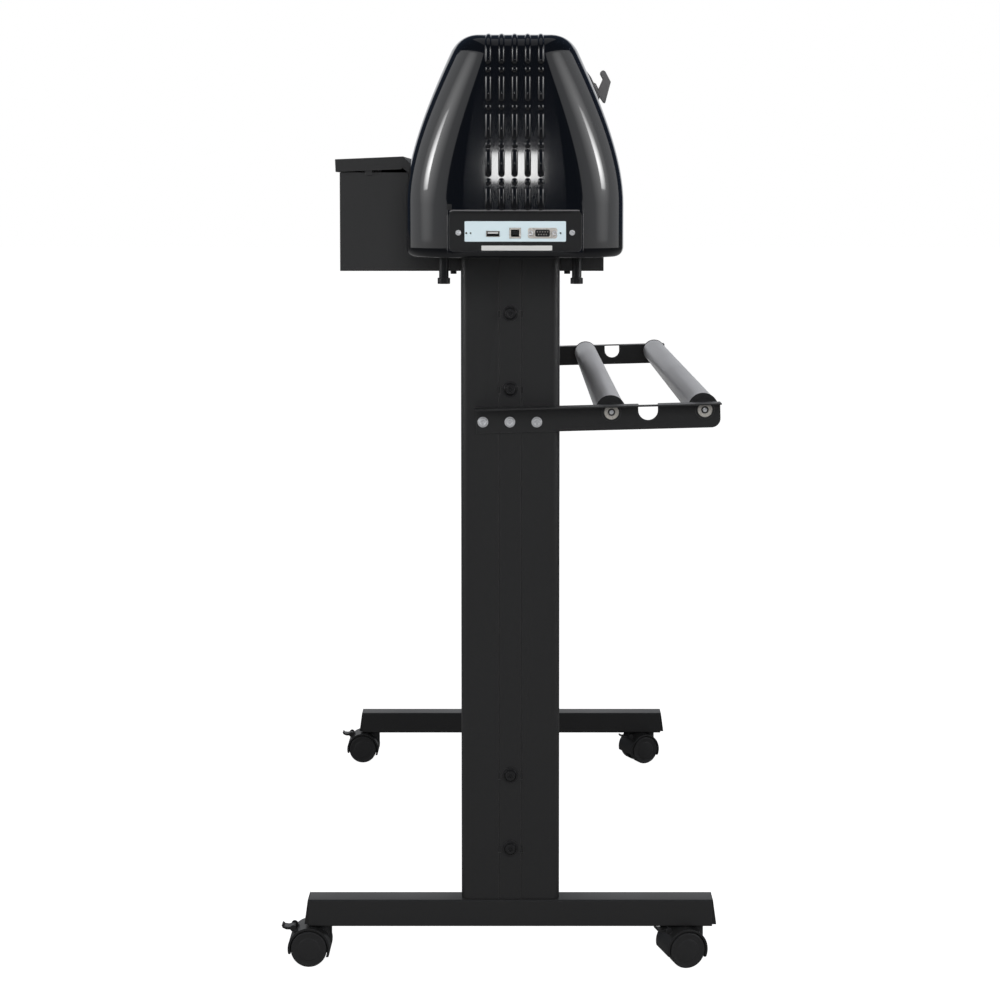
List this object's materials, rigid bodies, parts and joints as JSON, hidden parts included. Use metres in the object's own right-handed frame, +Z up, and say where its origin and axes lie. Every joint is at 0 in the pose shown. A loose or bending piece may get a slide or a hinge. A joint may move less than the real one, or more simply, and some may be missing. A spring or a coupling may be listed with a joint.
{
  "type": "vinyl cutting plotter",
  "caption": "Roll-fed vinyl cutter with glossy end caps, pinch rollers, front table and rear roll holder, on a two-column stand with castered feet.",
  "frame": {"origin": "on the floor, under the middle of the whole object's box", "axes": "+X to the operator's right, along the machine; +Y towards the roll holder; +Z up"},
  "size_m": [1.12, 0.4849, 1.0246],
  "materials": {
    "powder_black": "satin black powder coat",
    "table_black": "fine-textured dark grey powder coat",
    "gloss_black": "polished black moulded plastic",
    "black_plastic": "satin black moulded plastic",
    "wheel_black": "matt black nylon",
    "bolt_black": "black oxide",
    "zinc": "bright zinc plate",
    "roller_grey": "satin grey anodised tube with black plugs",
    "mill_aluminium": "satin anodised",
    "ice_plate": "pale blue coated plate",
    "connector_steel": "plated shells, black inserts",
    "strip_white": "white cutting strip",
    "lever_grey": "dark grey moulded plastic",
    "arm_steel": "pressed steel",
    "pinch_rubber": "black rubber",
    "grit_steel": "ground steel with grit sleeves",
    "motor_black": "black motor cases, steel shafts",
    "circuit_green": "circuit board and supply"
  },
  "bodies": {
    "frame": {"foot_right": "powder_black", "foot_left": "powder_black", "foot_end_plugs": "black_plastic", "caster_stems": "zinc", "column_right": "powder_black", "column_left": "powder_black", "crossbeams": "powder_black", "frame_bolts": "bolt_black", "roll_bracket_right": "powder_black", "roll_bracket_left": "powder_black", "bracket_screws": "zinc", "roller_bearings": "zinc", "chassis": "powder_black", "end_plates": "mill_aluminium", "platen": "mill_aluminium", "cutting_strip": "strip_white", "rear_apron": "powder_black", "front_table": "table_black", "table_lid": "table_black", "carriage_rail": "mill_aluminium", "top_cover": "gloss_black", "right_end_cap": "gloss_black", "left_end_cap": "gloss_black", "io_plate": "ice_plate", "io_ports": "connector_steel", "power_inlet": "black_plastic", "control_panel": "black_plastic", "drive_motors": "motor_black", "drive_belts": "pinch_rubber", "electronics": "circuit_green"},
    "caster_fr_fork": {"caster_fr_housing": "black_plastic"},
    "caster_fr_wheelset": {"caster_fr_wheels": "wheel_black"},
    "caster_fr_pedal": {"caster_fr_brake": "black_plastic"},
    "caster_rr_fork": {"caster_rr_housing": "black_plastic"},
    "caster_rr_wheelset": {"caster_rr_wheels": "wheel_black"},
    "caster_rr_pedal": {"caster_rr_brake": "black_plastic"},
    "caster_fl_fork": {"caster_fl_housing": "black_plastic"},
    "caster_fl_wheelset": {"caster_fl_wheels": "wheel_black"},
    "caster_fl_pedal": {"caster_fl_brake": "black_plastic"},
    "caster_rl_fork": {"caster_rl_housing": "black_plastic"},
    "caster_rl_wheelset": {"caster_rl_wheels": "wheel_black"},
    "caster_rl_pedal": {"caster_rl_brake": "black_plastic"},
    "front_roller_body": {"front_roller": "roller_grey"},
    "rear_roller_body": {"rear_roller": "roller_grey"},
    "feed_shaft_body": {"feed_shaft": "grit_steel"},
    "carriage_body": {"carriage": "black_plastic"},
    "tool_body": {"tool_holder": "mill_aluminium"},
    "rocker_body": {"power_rocker": "black_plastic"},
    "pinch_r_slider": {"pinch_r_block": "lever_grey"},
    "pinch_r_rocker": {"pinch_r_arm": "arm_steel"},
    "pinch_r_wheel": {"pinch_r_roller": "pinch_rubber"},
    "pinch_r_handle": {"pinch_r_lever": "lever_grey"},
    "pinch_m_slider": {"pinch_m_block": "lever_grey"},
    "pinch_m_rocker": {"pinch_m_arm": "arm_steel"},
    "pinch_m_wheel": {"pinch_m_roller": "pinch_rubber"},
    "pinch_m_handle": {"pinch_m_lever": "lever_grey"},
    "pinch_l_slider": {"pinch_l_block": "lever_grey"},
    "pinch_l_rocker": {"pinch_l_arm": "arm_steel"},
    "pinch_l_wheel": {"pinch_l_roller": "pinch_rubber"},
    "pinch_l_handle": {"pinch_l_lever": "lever_grey"}
  },
  "joints": [
    {"name": "caster_fr_swivel", "type": "hinge", "parent": "frame", "child": "caster_fr_fork", "pos_m": [0.444, -0.19455, 0.04], "axis": [0, 0, 1], "continuous": true},
    {"name": "caster_fr_roll", "type": "hinge", "parent": "caster_fr_fork", "child": "caster_fr_wheelset", "pos_m": [0.444, -0.21105, 0.02], "axis": [1, 0, 0], "continuous": true},
    {"name": "caster_fr_brake_tip", "type": "hinge", "parent": "caster_fr_fork", "child": "caster_fr_pedal", "pos_m": [0.444, -0.22905, 0.0398], "axis": [1, 0, 0], "range_deg": [0, 20]},
    {"name": "caster_rr_swivel", "type": "hinge", "parent": "frame", "child": "caster_rr_fork", "pos_m": [0.444, 0.21945, 0.04], "axis": [0, 0, 1], "continuous": true},
    {"name": "caster_rr_roll", "type": "hinge", "parent": "caster_rr_fork", "child": "caster_rr_wheelset", "pos_m": [0.44827, 0.20351, 0.02], "axis": [0.9659, 0.2588, 0], "continuous": true},
    {"name": "caster_rr_brake_tip", "type": "hinge", "parent": "caster_rr_fork", "child": "caster_rr_pedal", "pos_m": [0.45293, 0.18613, 0.0398], "axis": [0.9659, 0.2588, 0], "range_deg": [0, 20]},
    {"name": "caster_fl_swivel", "type": "hinge", "parent": "frame", "child": "caster_fl_fork", "pos_m": [-0.444, -0.19455, 0.04], "axis": [0, 0, 1], "continuous": true},
    {"name": "caster_fl_roll", "type": "hinge", "parent": "caster_fl_fork", "child": "caster_fl_wheelset", "pos_m": [-0.444, -0.21105, 0.02], "axis": [1, 0, 0], "continuous": true},
    {"name": "caster_fl_brake_tip", "type": "hinge", "parent": "caster_fl_fork", "child": "caster_fl_pedal", "pos_m": [-0.444, -0.22905, 0.0398], "axis": [1, 0, 0], "range_deg": [0, 20]},
    {"name": "caster_rl_swivel", "type": "hinge", "parent": "frame", "child": "caster_rl_fork", "pos_m": [-0.444, 0.21945, 0.04], "axis": [0, 0, 1], "continuous": true},
    {"name": "caster_rl_roll", "type": "hinge", "parent": "caster_rl_fork", "child": "caster_rl_wheelset", "pos_m": [-0.43703, 0.2045, 0.02], "axis": [0.9063, 0.4226, 0], "continuous": true},
    {"name": "caster_rl_brake_tip", "type": "hinge", "parent": "caster_rl_fork", "child": "caster_rl_pedal", "pos_m": [-0.42942, 0.18818, 0.0398], "axis": [0.9063, 0.4226, 0], "range_deg": [0, 20]},
    {"name": "front_roller_spin", "type": "hinge", "parent": "frame", "child": "front_roller_body", "pos_m": [0, 0.12306, 0.61735], "axis": [1, 0, 0], "continuous": true},
    {"name": "rear_roller_spin", "type": "hinge", "parent": "frame", "child": "rear_roller_body", "pos_m": [0, 0.22523, 0.62002], "axis": [1, 0, 0], "continuous": true},
    {"name": "feed_shaft_spin", "type": "hinge", "parent": "frame", "child": "feed_shaft_body", "pos_m": [0, 0.03245, 0.8874], "axis": [1, 0, 0], "continuous": true},
    {"name": "carriage_slide", "type": "slide", "parent": "frame", "child": "carriage_body", "axis": [1, 0, 0], "range_m": [-0.77, 0.03]},
    {"name": "tool_plunge", "type": "slide", "parent": "carriage_body", "child": "tool_body", "axis": [0, 0, -1], "range_m": [0, 0.006], "stiffness_N_per_m": 300, "springref_m": -0.006},
    {"name": "power_rocker_tip", "type": "hinge", "parent": "frame", "child": "rocker_body", "pos_m": [-0.5506, 0.01245, 0.83], "axis": [0, 1, 0], "range_deg": [0, 14]},
    {"name": "pinch_r_slide", "type": "slide", "parent": "frame", "child": "pinch_r_slider", "axis": [1, 0, 0], "range_m": [-0.1, 0.1]},
    {"name": "pinch_r_release", "type": "hinge", "parent": "pinch_r_slider", "child": "pinch_r_handle", "pos_m": [0.3, 0.07845, 0.992], "axis": [1, 0, 0], "range_deg": [0, 40]},
    {"name": "pinch_r_lift", "type": "hinge", "parent": "pinch_r_slider", "child": "pinch_r_rocker", "pos_m": [0.3, 0.06645, 0.924], "axis": [1, 0, 0], "range_deg": [-10, 0]},
    {"name": "pinch_r_spin", "type": "hinge", "parent": "pinch_r_rocker", "child": "pinch_r_wheel", "pos_m": [0.3, 0.03245, 0.9058], "axis": [1, 0, 0], "continuous": true},
    {"name": "pinch_m_slide", "type": "slide", "parent": "frame", "child": "pinch_m_slider", "axis": [1, 0, 0], "range_m": [-0.1, 0.1]},
    {"name": "pinch_m_release", "type": "hinge", "parent": "pinch_m_slider", "child": "pinch_m_handle", "pos_m": [0, 0.07845, 0.992], "axis": [1, 0, 0], "range_deg": [0, 40]},
    {"name": "pinch_m_lift", "type": "hinge", "parent": "pinch_m_slider", "child": "pinch_m_rocker", "pos_m": [0, 0.06645, 0.924], "axis": [1, 0, 0], "range_deg": [-10, 0]},
    {"name": "pinch_m_spin", "type": "hinge", "parent": "pinch_m_rocker", "child": "pinch_m_wheel", "pos_m": [0, 0.03245, 0.9058], "axis": [1, 0, 0], "continuous": true},
    {"name": "pinch_l_slide", "type": "slide", "parent": "frame", "child": "pinch_l_slider", "axis": [1, 0, 0], "range_m": [-0.1, 0.1]},
    {"name": "pinch_l_release", "type": "hinge", "parent": "pinch_l_slider", "child": "pinch_l_handle", "pos_m": [-0.3, 0.07845, 0.992], "axis": [1, 0, 0], "range_deg": [0, 40]},
    {"name": "pinch_l_lift", "type": "hinge", "parent": "pinch_l_slider", "child": "pinch_l_rocker", "pos_m": [-0.3, 0.06645, 0.924], "axis": [1, 0, 0], "range_deg": [-10, 0]},
    {"name": "pinch_l_spin", "type": "hinge", "parent": "pinch_l_rocker", "child": "pinch_l_wheel", "pos_m": [-0.3, 0.03245, 0.9058], "axis": [1, 0, 0], "continuous": true}
  ],
  "couplings": [
    {"joint": "pinch_r_lift", "follows": "pinch_r_release", "ratio": -0.25},
    {"joint": "pinch_m_lift", "follows": "pinch_m_release", "ratio": -0.25},
    {"joint": "pinch_l_lift", "follows": "pinch_l_release", "ratio": -0.25}
  ]
}
